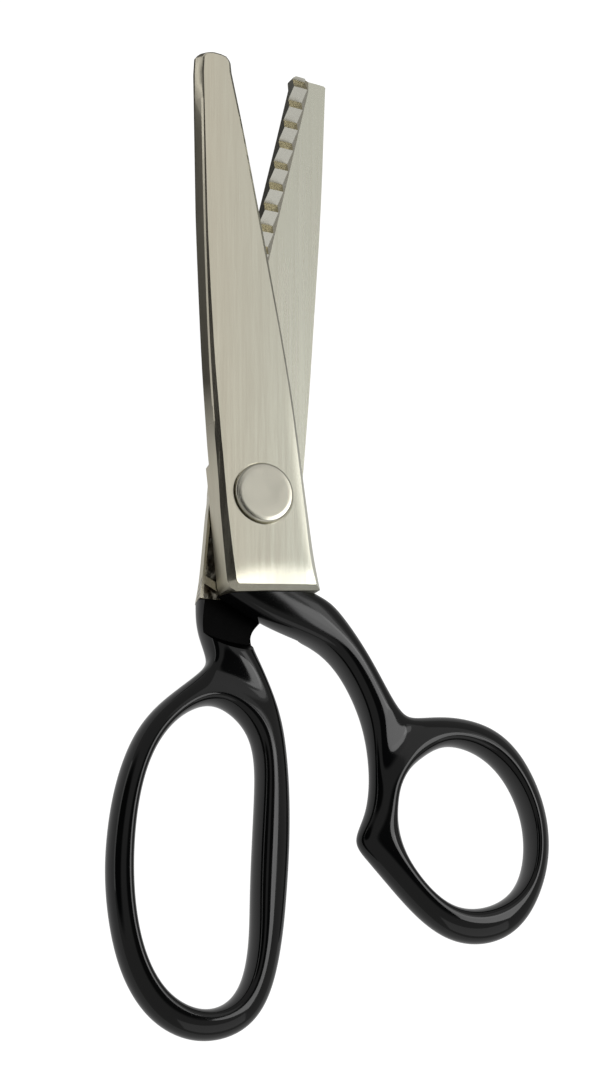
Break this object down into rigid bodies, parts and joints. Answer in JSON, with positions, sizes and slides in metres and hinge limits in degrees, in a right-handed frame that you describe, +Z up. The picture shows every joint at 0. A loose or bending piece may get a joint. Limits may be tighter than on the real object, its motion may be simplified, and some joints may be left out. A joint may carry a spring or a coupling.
{
  "type": "pinking shears",
  "caption": "Bent-handle pinking shears with zigzag toothed blades, a round thumb ring and a long finger loop, swinging on a flat-headed pivot screw.",
  "frame": {"origin": "on the pivot axis, in the plane of the pivot screw's end and the lock nut's outer face, on which the shears lie", "axes": "+Y towards the blade tips, +Z up along the pivot axis to the screw head, +X to the thumb ring's side"},
  "size_m": [0.1049, 0.2267, 0.0196],
  "materials": {
    "blade_nickel": "brushed nickel plate over forged steel, bright ground bevels",
    "handle_lacquer": "gloss black baked lacquer",
    "screw_nickel": "fine turned nickel plate",
    "bearing_bronze": "plain turned bronze",
    "washer_steel": "plain spring steel"
  },
  "bodies": {
    "lower_half": {"lower_blade": "blade_nickel", "lower_handle": "handle_lacquer", "pivot_screw": "screw_nickel", "head_washer": "bearing_bronze", "thrust_washer": "bearing_bronze", "lock_washer": "washer_steel", "lock_nut": "screw_nickel"},
    "upper_half": {"upper_blade": "blade_nickel", "upper_handle": "handle_lacquer", "pivot_bushing": "bearing_bronze"}
  },
  "joints": [
    {"name": "pivot", "type": "hinge", "parent": "lower_half", "child": "upper_half", "pos_m": [0, 0, 0], "axis": [0, 0, 1], "range_deg": [-11.4, 30]}
  ]
}
